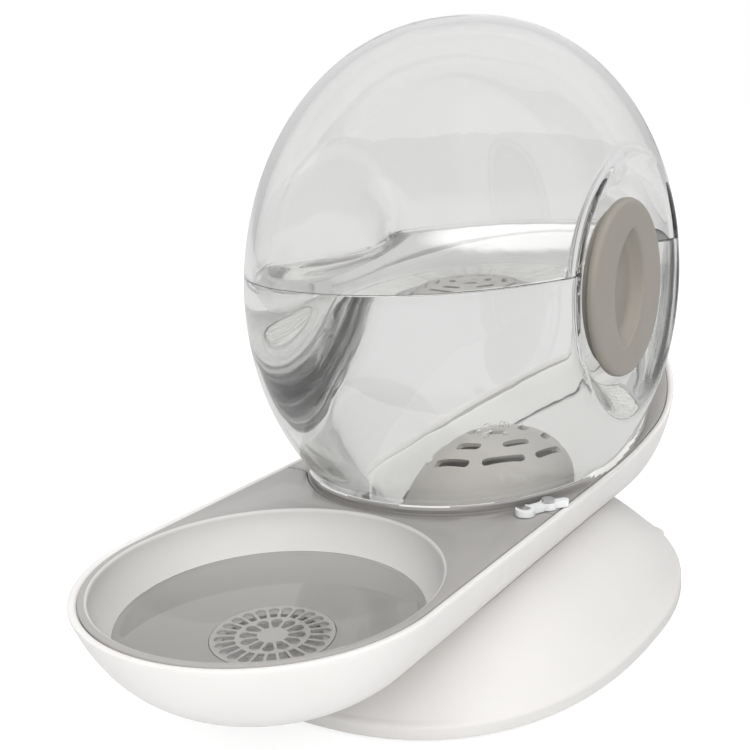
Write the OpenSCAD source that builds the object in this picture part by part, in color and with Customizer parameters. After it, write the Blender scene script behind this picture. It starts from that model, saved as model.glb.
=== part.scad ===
// Gravity water dispenser for pets: a clear disc-shaped tank with a flat
// round fill cap stands in a white boat-shaped hull on a flared oval foot.
// Grey deck parts close the hull and form the drinking bowl in front.
// Rest frame: +Z up, the origin on the ground under the object's middle, the
// bowl towards -Y and the fill cap on +X. Each piece is drawn round the tank's
// centre and then moved home.

/* [Tank] */
// Radius of the tank's round outline, seen along X
tank_r = 100; // [90:1:106]
// Thickness of the disc-shaped tank, along X
tank_w = 152; // [140:1:158]
// Fullness of the tank's section: 2 is an ellipse, more is squarer
tank_fullness = 2.25; // [2.1:0.05:2.6]
// Wall of the blown tank
tank_wall = 3; // [2:0.25:4]
// Share of the radius that the tank keeps under its centre, down to its bottom
tank_low_share = 0.76; // [0.72:0.01:0.8]
// Height of the tank's flat bottom above the ground
tank_floor_z = 44; // [43:0.5:45]
// Radius of the edge of the dished recess round the fill cap
dish_r = 47; // [42:0.5:50]
// Depth of the dish floor, measured from the flank's flat middle
dish_depth = 16.5; // [14:0.5:20]
// Radius of the dish's flat floor
dish_floor_r = 36; // [34.5:0.5:40]
// Radius of the blind cone recess on the other flank
cone_r = 47; // [40:0.5:50]
// Depth of the blind cone, measured from the flank's flat middle
cone_depth = 29; // [18:1:32]
// Radius of the cone's rounded tip
cone_tip_r = 12; // [8:1:16]
// Half width of the rounding at the edge of either recess
dish_edge = 3; // [1.5:0.5:4]

/* [Fill cap] */
// Radius of the fill cap
cap_r = 32.5; // [31:0.5:34]
// Thickness of the fill cap
cap_h = 6.2; // [5:0.2:8]
// Radius of the fill opening
fill_bore_r = 25; // [20:0.5:26]
// Wall of the fill neck
neck_wall = 2.4; // [1.6:0.2:3]
// Length of the lens-shaped finger recess in the cap
grip_len = 42; // [30:1:46]
// Width of the finger recess
grip_w = 13; // [10:0.5:16]
// Depth of the finger recess
grip_depth = 9; // [5:0.5:10]

/* [Outlet] */
// Radius of the bore in the tank's bottom neck
outlet_bore_r = 23.4; // [22:0.2:25]
// Wall of the bottom neck
outlet_wall = 2.6; // [2:0.2:3]
// Height of the neck's lower end above the ground, which sets the water's level
outlet_end_z = 37; // [36:0.5:38]
// Thickness of the outlet cap's floor
outlet_floor_h = 2.5; // [2:0.25:3]
// Thickness of the ring seal under the neck
outlet_seal_h = 1; // [0.8:0.1:1.4]
// Wall of the outlet cap's skirt
outlet_skirt_wall = 2.6; // [2:0.2:3.4]
// Height of the strainer's top above the ground
strainer_top_z = 74.8; // [66:0.2:80]
// Wall of the strainer
strainer_wall = 1.6; // [1.2:0.1:2]
// Slots in the strainer's lowest ring
strainer_slots = 7; // [5:1:8]
// Height of the strainer's slots
slot_h = 2.6; // [2:0.1:3]

/* [Valve] */
// Radius of the valve stem
stem_r = 2.5; // [2:0.1:3]
// Radius of the round port in the outlet cap's floor
port_r = 8; // [7:0.5:9]
// Radius of the rubber valve washer
washer_r = 10.5; // [10:0.25:12]
// Height by which the stem is held open
valve_open = 3; // [2:0.25:4]
// Mean radius of the spring's coil
spring_r = 5.6; // [5:0.1:6.4]
// Radius of the spring's wire
spring_wire_r = 0.5; // [0.4:0.05:0.7]
// Turns of the spring
spring_turns = 4; // [3:1:5]

/* [Hull] */
// How far the tank's flanks stand out over the hull's widest line
tank_overhang = 10; // [7:0.5:11]
// Height at which the hull's side stands upright
hull_full_z = 95; // [90:1:100]
// Height of the hull's lowest line
hull_keel_z = 13; // [12.5:0.25:14]
// Fullness of the hull's section
hull_fullness = 2.75; // [2.6:0.05:3]
// Wall of the hull
hull_wall = 2.4; // [2:0.1:2.8]
// Height of the level deck
deck_z = 50; // [48.5:0.5:52]
// Thickness of the deck parts
deck_h = 2.5; // [2:0.25:3]
// Radius of the rim's sweep up the stern
rim_sweep_r = 140; // [125:1:160]
// How far the stern's widest line stands behind the tank's back
stern_gap = 6; // [4:0.5:10]
// Width of the ledge that carries the deck parts
ledge_w = 2.2; // [1.6:0.2:3]
// Depth of the ledge
ledge_h = 4; // [3:0.5:5]
// Radius of the ring wall that carries the tank's cradle
seat_r = 48.4; // [45:0.2:50]
// Wall of the cradle that hugs the tank under the deck
cradle_wall = 1.7; // [1.2:0.1:2]

/* [Bowl] */
// Gap between the bowl's rim and the tank, along the deck
bowl_gap = 8.6; // [8:0.2:12]
// Distance from the bowl's rim out to the hull's widest line
bowl_margin = 11; // [10.5:0.5:14]
// Radius of the bowl's rim
bowl_r = 55; // [50:0.5:55.5]
// Height of the bowl's floor above the ground
bowl_floor_z = 21; // [20:0.5:24]
// Wall of the bowl
bowl_wall = 2; // [1.6:0.1:2.2]
// Radius of the grate in the bowl's floor
grate_r = 20; // [17:0.5:21]
// Thickness of the grate
grate_h = 2; // [1.6:0.1:2.4]
// Petal-shaped openings in the grate's inner ring
grate_petals = 12; // [8:1:14]
// How far the sides of the deck's cross joint lie behind the tank's front
joint_back = 20.4; // [18:0.4:24]

/* [Foot] */
// Radius of the foot's round ends on the ground
foot_r = 85; // [80:1:90]
// Distance between the centres of the two round ends
foot_spread = 44; // [36:1:52]
// Distance from the tank's centre forward to the foot's centre
foot_dist = 27.5; // [22:0.5:32]
// Height of the seam between foot and hull at the sides
seam_z = 30; // [28:0.5:32]
// Height of the upright band round the foot's edge
foot_band_h = 4.5; // [3:0.5:6]
// Wall of the foot
foot_wall = 2.8; // [2.2:0.1:3.4]
// Radius of the rubber pads
pad_r = 7; // [5:0.5:8]
// Radius of the fixing screws
screw_r = 1.5; // [1.25:0.25:1.75]

/* [Clip] */
// Distance from the deck clip's pivot to its claw
clip_len = 10; // [9:0.5:11]
// Thickness of the deck clip
clip_h = 2.4; // [2:0.2:3]
// Radius of the clip's pivot pin
clip_pin_r = 1.2; // [1:0.1:1.4]

/* [Clearances] */
// Gap between parts that are laid in or stand on each other
seat_gap = 0.3; // [0.2:0.05:0.4]
// Gap between a shaft and its guide
run_gap = 0.06; // [0.03:0.01:0.1]

/* [Hidden] */
$fn = 96;

// Colours as they look on the product
white = [0.93, 0.92, 0.91];
grey = [0.66, 0.66, 0.65];
taupe = [0.64, 0.62, 0.58];
clear = [0.85, 0.90, 0.92, 0.35];
rubber = [0.30, 0.30, 0.31];
silicone = [0.86, 0.86, 0.84];
steel = [0.72, 0.72, 0.74];

// Cuts run this far past the faces that they open
past = 1;
// Reach of the tools that cut a whole half space
far = 400;
// Turn between two points of a curved profile
profile_step = 5;

// Tank: a superellipse turned about X
tank_a = tank_w / 2;
tank_axis_z = tank_floor_z + tank_low_share * tank_r;
tank_front = sqrt(pow(tank_r, 2) - pow(tank_axis_z - deck_z, 2));
function tank_x(rho, grow = 0) =
    (tank_a + grow) * pow(1 - pow(rho / (tank_r + grow), 2), 1 / tank_fullness);

// Fill side: dish floor, neck, seal and cap stand on each other along X
dish_x = tank_a - dish_depth;
cap_face_x = dish_x + seat_gap + cap_h;
cap_plate = 1.8;
cap_round = 1.4;
fill_seal_h = 0.8;
neck_r = fill_bore_r + neck_wall;
neck_end_x = cap_face_x - cap_plate - fill_seal_h;
plug_r = fill_bore_r - 1.5;
plug_end_x = cap_face_x - grip_depth - 2;

// Outlet: cap, seal, neck and strainer stand on each other along Z
outlet_r = outlet_bore_r + outlet_wall;
outlet_seat_z = outlet_end_z - outlet_seal_h;
outlet_base_z = outlet_seat_z - outlet_floor_h;
outlet_skirt_r = outlet_r + seat_gap + outlet_skirt_wall;
outlet_skirt_top = tank_floor_z - 1;
grip_ribs = 24;
hub_r = stem_r + 2;
spoke_w = 1.8;

// Strainer: a tube with a spherical top and a bridge that stops the spring
strainer_r = outlet_bore_r - 2 * seat_gap;
dome_z = strainer_top_z - strainer_r;
bridge_h = 2;
bridge_z = tank_floor_z + tank_wall + 3;
window_z = tank_floor_z + tank_wall + 0.5;
window_h = 3.6;
window_w = 9;
windows = 4;
// Each ring of slots: its lift on the dome, its slots' width and its turn
slot_rings = [[38, 12.5, 0], [54, 8, 25], [71, 5, 10]];

// Valve: the stem stands on the hull's post, lifted off its port
stem_base_z = outlet_base_z - 2.5;
washer_z = outlet_seat_z + valve_open;
washer_h = 1.2;
flange_z = washer_z + washer_h;
flange_h = 1.5;
flange_r = 9;
spring_z = flange_z + flange_h;
stem_top_z = bridge_z + bridge_h + 4;
post_r = 3.5;
post_foot_r = 7;

// Hull: one superellipse section, turned at bow and stern and drawn between
hull_r = max(tank_a - tank_overhang, bowl_r + bowl_margin);
bow_y = -tank_front - bowl_gap - bowl_r;
stern_y = tank_r + stern_gap - hull_r;
hull_span = hull_full_z - hull_keel_z;
hull_top_z = deck_z + rim_sweep_r;
function hull_half(z) =
    hull_r * pow(1 - pow((hull_full_z - z) / hull_span, hull_fullness), 1 / hull_fullness);
// Place of the tank's centre, which puts the object's middle over the origin
home = [0, (hull_half(deck_z) - bow_y - stern_y - hull_r) / 2, 0];
under_deck = deck_z - deck_h;
ledge_base_z = under_deck - ledge_h;
ledge_half = hull_half(ledge_base_z) - hull_wall - ledge_w;
// The ledge starts where the bowl has left it room
ledge_start_y = bow_y + past
    + sqrt(max(0, pow(bowl_r + bowl_wall + seat_gap, 2) - pow(ledge_half, 2)));
// It ends where the tank's cradle takes over
ledge_end_y = -0.42 * tank_front;

// Bosses that take the screws from the foot
boss_r = 4;
boss_x = 22;
boss_dy = 62;
boss_top_z = 21;
boss_roof = 1.5;
plate_top_z = hull_keel_z - seat_gap;

// Bowl: half an ellipse turned about the bow's axis, cut flat at the floor
bowl_dip = deck_z - bowl_floor_z + 2;
rim_round = 1.2;
grate_hole_r = grate_r - 4;
grate_sink = 1.4;
grate_seat_h = 2;
grate_seat_r = grate_r + seat_gap + 2;
grate_rib = 1;
petal_bulge = 1.06;

// Joint between tray and collar: straight at the sides, round at the tank
lip_w = 1.7;
lip_h = 4;
lip_gap = seat_gap + 0.2;
joint_dist = tank_front - joint_back;
joint_r = 0.75 * tank_a;
joint_blend_r = 8;
joint_c_y = joint_r - tank_front - lip_gap - lip_w - 3.4;

// Plate, cradle and ring wall under the tank
seat_h = 2.5;
seat_wall = 2.4;
seat_hole_r = outlet_skirt_r + 2;
seat_gate_w = 24;
seat_gate_h = 9;

// Foot: its profile runs round two centres, as the hull's does
foot_rear_y = foot_spread / 2 - foot_dist;
foot_front_y = -foot_spread / 2 - foot_dist;
foot_top_r = hull_half(seam_z) + seat_gap + 0.8;
foot_base_z = 0.6;
foot_knee = 3.5;
slant = 1.4;
plate_h = 2.5;
pad_h = 2;
pad_boss_r = pad_r + 1.8;
pad_boss_h = 5;
pad_reach = foot_r - foot_wall - pad_r - 0.8;
screw_head_r = 2.8;
screw_head_h = 1.8;
screw_slot = 0.8;

// Clip
clip_x = hull_half(deck_z) - hull_wall - 4;
clip_y = 3 - joint_dist;
clip_turn = -26;
clip_eye_r = 3;
clip_bar_w = 3.4;
clip_wing_len = 6;
clip_wing_w = 3.2;
clip_wing_turn = -15;
clip_z = deck_z + seat_gap;
peg_r = 1.3;
claw_in_r = peg_r + 2 * seat_gap;
claw_r = claw_in_r + 1.5;
pin_head_r = 2.2;
pin_head_h = 0.8;

// Points on a curve from a to c that leans to b
function lean(a, b, c, n) =
    [for (i = [0:n]) let (t = i / n) (1 - t) * (1 - t) * a + 2 * t * (1 - t) * b + t * t * c];

// A half space over a height
module above(z) {
    translate([-far / 2, -far / 2, z]) cube([far, far, far]);
}

// A flat ring
module ring(r_out, r_in, z, h) {
    translate([0, 0, z]) difference() {
        cylinder(h = h, r = r_out);
        translate([0, 0, -past]) cylinder(h = h + 2 * past, r = r_in);
    }
}

// Turns a profile of radius and height round two centres, with straight
// runs between them
module two_ended(front_y, rear_y, profile) {
    for (y = [front_y, rear_y]) {
        translate([0, y, 0]) rotate_extrude() polygon(profile);
    }
    for (side = [0, 1]) {
        mirror([side, 0, 0]) translate([0, rear_y, 0]) rotate([90, 0, 0])
            linear_extrude(height = rear_y - front_y) polygon(profile);
    }
}

// Turns a profile of radius and height about the tank's axis, along X
module about_x(profile) {
    translate([0, 0, tank_axis_z]) rotate([0, 90, 0]) rotate_extrude() polygon(profile);
}

// A rod on the tank's axis
module x_rod(r, x0, x1) {
    translate([x0, 0, tank_axis_z]) rotate([0, 90, 0]) cylinder(h = x1 - x0, r = r);
}

// The tank's closed form without its bottom, grown by an offset
module tank_form(grow = 0) {
    about_x([for (t = [0:profile_step:180])
        [(tank_r + grow) * sin(t),
         (tank_a + grow) * sign(cos(t)) * pow(abs(cos(t)), 2 / tank_fullness)]]);
}

// Profile of a recess in the tank's flank: a floor, a cone and a soft edge.
// wall moves it into the tank, for the inner face.
function recess(floor_r, floor_x, edge_r, round_r, wall) =
    let (rise = [edge_r, tank_x(edge_r)] - [floor_r, floor_x],
         dir = rise / norm(rise),
         foot = [floor_r + wall * tan(atan2(dir[1], dir[0]) / 2), floor_x - wall],
         brink = foot + rise,
         knee = brink - dish_edge * dir / dir[0],
         out_r = brink[0] + dish_edge,
         out = [out_r, tank_x(out_r, -wall)])
    concat(round_r > 0 ? lean([0, foot[1]], foot, foot + dir * round_r, 5)
                       : [[0, foot[1]], foot],
           lean(knee, brink, out, 4),
           [[out_r, tank_a + dish_depth], [0, tank_a + dish_depth]]);

module dish_space(wall = 0) {
    about_x(recess(dish_floor_r, dish_x, dish_r, 0, wall));
}

module cone_space(wall = 0) {
    mirror([1, 0, 0])
        about_x(recess(cone_tip_r / 2, tank_a - cone_depth, cone_r, cone_tip_r / 2, wall));
}

module water_tank() color(clear) translate(home) difference() {
    union() {
        difference() {
            intersection() {
                tank_form();
                above(tank_floor_z);
            }
            dish_space();
            cone_space();
        }
        x_rod(neck_r, dish_x - tank_wall / 2, neck_end_x);
        translate([0, 0, outlet_end_z])
            cylinder(h = tank_floor_z + tank_wall / 2 - outlet_end_z, r = outlet_r);
    }
    difference() {
        intersection() {
            tank_form(-tank_wall);
            above(tank_floor_z + tank_wall);
        }
        dish_space(tank_wall);
        cone_space(tank_wall);
    }
    x_rod(fill_bore_r, dish_x - tank_wall - past, neck_end_x + past);
    translate([0, 0, outlet_end_z - past])
        cylinder(h = tank_floor_z + tank_wall - outlet_end_z + 2 * past, r = outlet_bore_r);
}

// Half of the lens shape that is cut into the cap's face
module grip_side(side) {
    lens_r = (pow(grip_len, 2) + pow(grip_w, 2)) / (4 * grip_w);
    translate([0, side * (lens_r - grip_w / 2), 0])
        x_rod(lens_r, cap_face_x - grip_depth, cap_face_x + past);
}

module fill_cap() color(taupe) translate(home) difference() {
    about_x(concat(
        [[0, plug_end_x],
         [plug_r, plug_end_x],
         [plug_r, cap_face_x - cap_plate],
         [neck_r + seat_gap, cap_face_x - cap_plate],
         [neck_r + seat_gap, cap_face_x - cap_h],
         [cap_r, cap_face_x - cap_h]],
        lean([cap_r, cap_face_x - cap_round], [cap_r, cap_face_x],
             [cap_r - cap_round, cap_face_x], 4),
        [[0, cap_face_x]]));
    intersection() {
        grip_side(-1);
        grip_side(1);
    }
}

module fill_cap_seal() color(silicone) translate(home) difference() {
    x_rod(neck_r, neck_end_x, neck_end_x + fill_seal_h);
    x_rod(fill_bore_r, neck_end_x - past, neck_end_x + fill_seal_h + past);
}

module outlet_cap() color(white) translate(home) {
    difference() {
        translate([0, 0, outlet_base_z])
            cylinder(h = outlet_skirt_top - outlet_base_z, r = outlet_skirt_r);
        translate([0, 0, outlet_seat_z]) cylinder(h = far, r = outlet_r + seat_gap);
        translate([0, 0, outlet_base_z - past]) cylinder(h = far, r = port_r);
        for (i = [0:grip_ribs - 1]) {
            rotate(i * 360 / grip_ribs)
                translate([outlet_skirt_r + 0.8, 0, outlet_base_z + past])
                    cylinder(h = far, r = 1.4);
        }
    }
    translate([0, 0, outlet_base_z]) difference() {
        union() {
            cylinder(h = outlet_floor_h, r = hub_r);
            for (i = [0:2]) {
                rotate(i * 120) translate([0, -spoke_w / 2, 0])
                    cube([port_r + past, spoke_w, outlet_floor_h]);
            }
        }
        translate([0, 0, -past]) cylinder(h = far, r = stem_r + run_gap);
    }
}

module outlet_seal() color(silicone) translate(home)
    ring(outlet_r, outlet_bore_r, outlet_seat_z, outlet_seal_h);

// A slot with round ends through the dome, square to its skin
module dome_slot(lift, width) {
    reach = (width - slot_h) / 2;
    depth = 6 * strainer_wall;
    rotate([0, 90 - lift, 0]) translate([0, 0, strainer_r - depth / 2])
        linear_extrude(height = depth) {
            square([slot_h, 2 * reach], center = true);
            for (side = [-1, 1]) {
                translate([0, side * reach]) circle(r = slot_h / 2);
            }
        }
}

// Section of a tube with a spherical top
module dome_section(r, base_z) {
    translate([0, base_z]) square([r, dome_z - base_z]);
    translate([0, dome_z]) intersection() {
        circle(r = r);
        square([r, r]);
    }
}

module strainer_dome() color(grey) translate(home) {
    inner_r = strainer_r - strainer_wall;
    difference() {
        rotate_extrude() difference() {
            dome_section(strainer_r, outlet_seat_z);
            dome_section(inner_r, outlet_seat_z - past);
        }
        for (row = [0:len(slot_rings) - 1]) {
            count = strainer_slots - row;
            for (i = [0:count - 1]) {
                translate([0, 0, dome_z]) rotate(slot_rings[row][2] + i * 360 / count)
                    dome_slot(slot_rings[row][0], slot_rings[row][1]);
            }
        }
        for (i = [0:windows - 1]) {
            rotate(45 + i * 360 / windows) translate([0, -window_w / 2, window_z])
                cube([strainer_r + past, window_w, window_h]);
        }
    }
    translate([0, 0, bridge_z]) difference() {
        union() {
            cylinder(h = bridge_h, r = spring_r + spring_wire_r + 0.8);
            for (i = [0:windows - 1]) {
                rotate(i * 360 / windows) translate([0, -spoke_w / 2, 0])
                    cube([inner_r + strainer_wall / 4, spoke_w, bridge_h]);
            }
        }
        translate([0, 0, -past]) cylinder(h = far, r = stem_r + run_gap);
    }
}

module valve_stem() color(white) translate(home) {
    translate([0, 0, stem_base_z]) cylinder(h = stem_top_z - stem_base_z, r = stem_r);
    translate([0, 0, flange_z]) cylinder(h = flange_h, r = flange_r);
}

module valve_washer() color(rubber) translate(home) ring(washer_r, stem_r, washer_z, washer_h);

// Helical wire as one closed skin: rings of points joined in order
module valve_spring() color(steel) translate(home) {
    sides = 8;
    steps = 14;
    count = spring_turns * steps;
    base = spring_z + spring_wire_r + seat_gap;
    rise = bridge_z - spring_wire_r - seat_gap - base;
    points = [for (i = [0:count], j = [0:sides - 1])
        let (turn = 360 * i / steps, side = 360 * j / sides,
             r = spring_r + spring_wire_r * cos(side))
        [r * cos(turn), r * sin(turn), base + rise * i / count + spring_wire_r * sin(side)]];
    skin = [for (i = [0:count - 1], j = [0:sides - 1])
        let (k = (j + 1) % sides, a = i * sides, b = a + sides)
        [a + j, a + k, b + k, b + j]];
    last = count * sides;
    polyhedron(points, concat(skin, [
        [for (j = [0:sides - 1]) sides - 1 - j],
        [for (j = [0:sides - 1]) last + j]]), convexity = 10);
}

// The hull's outer form with no deck, shrunk by an offset
module hull_form(shrink = 0) {
    wide = hull_r - shrink;
    deep = hull_span - shrink;
    two_ended(bow_y, stern_y, concat(
        [for (t = [0:profile_step:90])
            [wide * pow(cos(t), 2 / hull_fullness),
             hull_full_z - deep * pow(sin(t), 2 / hull_fullness)]],
        [[0, hull_top_z], [wide, hull_top_z]]));
}

// Everything over the deck, which runs level and then sweeps up the stern.
// drop lowers its surface.
module over_deck(drop = 0) {
    translate([-far / 2, 0, deck_z + rim_sweep_r]) rotate([0, 90, 0])
        cylinder(h = far, r = rim_sweep_r + drop);
    translate([-far / 2, -far, deck_z - drop]) cube([far, far, far]);
}

module at_bosses() {
    for (x = [-1, 1], y = [-1, 1]) {
        translate([x * boss_x, y * boss_dy - foot_dist, 0]) children();
    }
}

module hull_shell() color(white) translate(home) difference() {
    union() {
        difference() {
            hull_form();
            hull_form(hull_wall);
            over_deck();
        }
        intersection() {
            difference() {
                hull_form(hull_wall / 2);
                hull_form(hull_wall + ledge_w);
                over_deck(deck_h);
            }
            over_deck(deck_h + ledge_h);
            translate([-far / 2, ledge_start_y, 0])
                cube([far, ledge_end_y - ledge_start_y, far]);
        }
        translate([0, 0, hull_keel_z + hull_wall / 2])
            cylinder(h = stem_base_z - hull_keel_z - hull_wall / 2, r1 = post_foot_r, r2 = post_r);
        at_bosses() translate([0, 0, plate_top_z])
            cylinder(h = boss_top_z - plate_top_z, r = boss_r);
    }
    at_bosses() translate([0, 0, plate_top_z - past])
        cylinder(h = boss_top_z - boss_roof - plate_top_z + past, r = screw_r + run_gap);
}

// Outline of the collar's side of the cross joint, grown by a gap
module joint_outline(gap = 0) {
    blend_y = -joint_dist - joint_blend_r;
    blend_x = sqrt(pow(joint_r + joint_blend_r, 2) - pow(blend_y - joint_c_y, 2));
    translate([-far / 2, -joint_dist - gap]) square([far, far]);
    translate([0, joint_c_y]) circle(r = joint_r + gap);
    for (side = [-1, 1]) {
        difference() {
            polygon([[0, joint_c_y], [side * blend_x, -joint_dist],
                     [side * blend_x, blend_y]]);
            translate([side * blend_x, blend_y]) circle(r = joint_blend_r - gap);
        }
    }
}

module collar_side(gap = 0) {
    linear_extrude(height = far) joint_outline(gap);
}

// The whole deck, level and swept, inside the hull's wall
module deck_plate() {
    intersection() {
        hull_form(hull_wall + seat_gap);
        difference() {
            over_deck(deck_h);
            over_deck();
        }
    }
}

// The bowl's inner form, grown by its wall for the outer one
module bowl_form(grow = 0) {
    floor_z = bowl_floor_z - grow;
    first = acos((deck_z - floor_z) / (bowl_dip + grow));
    brim = grow > 0 ? [[bowl_r + grow, deck_z - deck_h / 2], [0, deck_z - deck_h / 2]]
        : concat(lean([bowl_r - 0.1, deck_z - rim_round], [bowl_r, deck_z],
                      [bowl_r + rim_round, deck_z], 3),
                 [[bowl_r + rim_round, deck_z + past], [0, deck_z + past]]);
    translate([0, bow_y, 0]) rotate_extrude() polygon(concat(
        [[0, floor_z]],
        [for (i = [0:12]) let (t = first + (84 - first) * i / 12)
            [(bowl_r + grow) * sin(t), deck_z - (bowl_dip + grow) * cos(t)]],
        brim));
}

module bowl_tray() color(grey) translate(home) difference() {
    union() {
        difference() {
            deck_plate();
            collar_side(seat_gap);
        }
        intersection() {
            bowl_form(bowl_wall);
            hull_form(hull_wall + seat_gap);
        }
        translate([0, bow_y, bowl_floor_z - grate_sink - grate_seat_h])
            cylinder(h = grate_sink + grate_seat_h, r = grate_seat_r);
        translate([0, 0, deck_z - deck_h / 2]) at_claw()
            cylinder(h = deck_h / 2 + seat_gap + clip_h, r = peg_r);
    }
    bowl_form();
    translate([0, bow_y, bowl_floor_z - grate_sink])
        cylinder(h = grate_sink + past, r = grate_r + seat_gap);
    translate([0, bow_y, 0]) cylinder(h = deck_z, r = grate_hole_r);
}

// A petal-shaped opening: a wedge a rib's width away from its neighbours, with
// a round outer end that bulges a little
module petal(count, r_in, r_out) {
    half = 180 / count;
    apex = grate_rib / (2 * sin(half));
    spread = tan(half);
    mid = (r_out - apex) / (1 + petal_bulge * spread);
    start = r_in - apex;
    translate([apex, 0]) {
        translate([mid, 0]) circle(r = petal_bulge * mid * spread);
        polygon([[start, -start * spread], [mid, -mid * spread],
                 [mid, mid * spread], [start, start * spread]]);
    }
}

module bowl_grate() color(grey) translate(home)
    translate([0, bow_y, bowl_floor_z - grate_sink]) linear_extrude(height = grate_h)
        difference() {
            circle(r = grate_r);
            for (i = [0:grate_petals - 1]) {
                rotate(i * 360 / grate_petals) petal(grate_petals, 0.25 * grate_r, 0.53 * grate_r);
            }
            for (i = [0:2 * grate_petals - 1]) {
                rotate((i + 0.5) * 180 / grate_petals)
                    petal(2 * grate_petals, 0.6 * grate_r, 0.93 * grate_r);
            }
        }

module deck_collar() color(grey) translate(home) difference() {
    union() {
        intersection() {
            deck_plate();
            collar_side();
        }
        intersection() {
            tank_form(lip_gap + lip_w);
            difference() {
                over_deck(seat_gap);
                over_deck(-lip_h);
            }
            hull_form(hull_wall + seat_gap);
        }
    }
    tank_form(lip_gap);
    translate([clip_x, clip_y, 0]) cylinder(h = far, r = clip_pin_r + run_gap);
}

// The cradle hugs the tank from its flat bottom up to the underside of the deck
module tank_cradle() {
    difference() {
        intersection() {
            tank_form(lip_gap + cradle_wall);
            above(tank_floor_z - seat_h);
            hull_form(hull_wall + seat_gap);
        }
        intersection() {
            tank_form(lip_gap);
            above(tank_floor_z);
        }
        over_deck(deck_h + seat_gap);
        cylinder(h = far, r = seat_hole_r);
    }
}

module tank_seat() color(white) translate(home) {
    tank_cradle();
    intersection() {
        difference() {
            ring(seat_r, seat_r - seat_wall, hull_keel_z, tank_floor_z - seat_h / 2 - hull_keel_z);
            translate([-seat_gate_w / 2, -far / 2, hull_keel_z])
                cube([seat_gate_w, far, seat_gate_h]);
        }
        hull_form(hull_wall + seat_gap);
    }
}

// Profile of the foot, with its walls moved in
function foot_profile(inset = 0) = concat(
    [[0, foot_base_z], [foot_r - inset, foot_base_z]],
    lean([foot_r - inset, foot_base_z + foot_band_h - 1],
         [foot_r - inset, foot_base_z + foot_band_h],
         [foot_r - foot_knee - slant * inset, foot_base_z + foot_band_h + foot_knee / 2], 3),
    lean([foot_r - foot_knee - slant * inset, foot_base_z + foot_band_h + foot_knee / 2],
         [foot_r - 20 - slant * inset, seam_z - 7.5],
         [foot_top_r - slant * inset, seam_z], 8),
    [[0, seam_z]]);

module at_pads() {
    for (side = [-1, 1]) {
        for (turn = [-45, 45]) {
            translate([0, turn < 0 ? foot_front_y : foot_rear_y, 0])
                rotate([0, 0, side > 0 ? turn : 180 - turn]) translate([pad_reach, 0, 0])
                    children();
        }
    }
}

module pedestal_foot() color(white) translate(home) difference() {
    union() {
        difference() {
            two_ended(foot_front_y, foot_rear_y, foot_profile());
            difference() {
                translate([0, 0, -past])
                    two_ended(foot_front_y, foot_rear_y, foot_profile(foot_wall));
                translate([-far / 2, -far / 2, plate_top_z - plate_h]) cube([far, far, plate_h]);
            }
        }
        at_pads() translate([0, 0, foot_base_z]) cylinder(h = pad_boss_h, r = pad_boss_r);
    }
    hull_form(-seat_gap);
    at_pads() cylinder(h = pad_h, r = pad_r + seat_gap);
    at_bosses() cylinder(h = far, r = screw_r + seat_gap);
}

module foot_pads() color(rubber) translate(home) at_pads() cylinder(h = pad_h, r = pad_r);

module foot_screws() color(steel) translate(home) at_bosses() difference() {
    union() {
        translate([0, 0, plate_top_z - plate_h - screw_head_h])
            cylinder(h = screw_head_h, r = screw_head_r);
        translate([0, 0, plate_top_z - plate_h - past])
            cylinder(h = plate_h + boss_top_z - boss_roof - plate_top_z + past, r = screw_r);
    }
    for (turn = [0, 90]) {
        rotate(turn) translate([-screw_head_r * 0.65, -screw_slot / 2,
                                plate_top_z - plate_h - screw_head_h - past])
            cube([screw_head_r * 1.3, screw_slot, past + 1]);
    }
}

// Places something at the clip's pivot, in the clip's own direction
module at_clip() {
    translate([clip_x, clip_y, 0]) rotate([0, 0, clip_turn]) children();
}

module at_claw() {
    at_clip() translate([0, -clip_len, 0]) children();
}

module deck_clip() color(silicone) translate(home) translate([0, 0, clip_z]) difference() {
    union() {
        at_clip() {
            cylinder(h = clip_h, r = clip_eye_r);
            translate([-clip_bar_w / 2, -clip_len, 0]) cube([clip_bar_w, clip_len, clip_h]);
            rotate([0, 0, clip_wing_turn]) {
                translate([-clip_wing_w / 2, 0, 0]) cube([clip_wing_w, clip_wing_len, clip_h]);
                translate([0, clip_wing_len, 0]) cylinder(h = clip_h, r = clip_wing_w / 2);
            }
        }
        at_claw() cylinder(h = clip_h, r = claw_r);
    }
    translate([0, 0, -past]) {
        at_clip() cylinder(h = far, r = clip_pin_r + run_gap);
        at_claw() {
            cylinder(h = far, r = claw_in_r);
            translate([-2 * claw_r, -claw_in_r, 0]) cube([2 * claw_r, 2 * claw_in_r, far]);
        }
    }
}

module clip_pin() color(steel) translate(home) {
    head_z = clip_z + clip_h + seat_gap;
    translate([clip_x, clip_y, under_deck]) cylinder(h = head_z - under_deck, r = clip_pin_r);
    translate([clip_x, clip_y, head_z]) cylinder(h = pin_head_h, r = pin_head_r);
}

hull_shell();
pedestal_foot();
foot_pads();
foot_screws();
bowl_tray();
bowl_grate();
deck_collar();
tank_seat();
water_tank();
fill_cap();
fill_cap_seal();
outlet_cap();
outlet_seal();
strainer_dome();
valve_stem();
valve_washer();
valve_spring();
deck_clip();
clip_pin();
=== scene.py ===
from math import atan, cos, pi, radians, sin, sqrt, tan

import bmesh
import bpy
import numpy as np
from mathutils import Matrix, Vector


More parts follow.
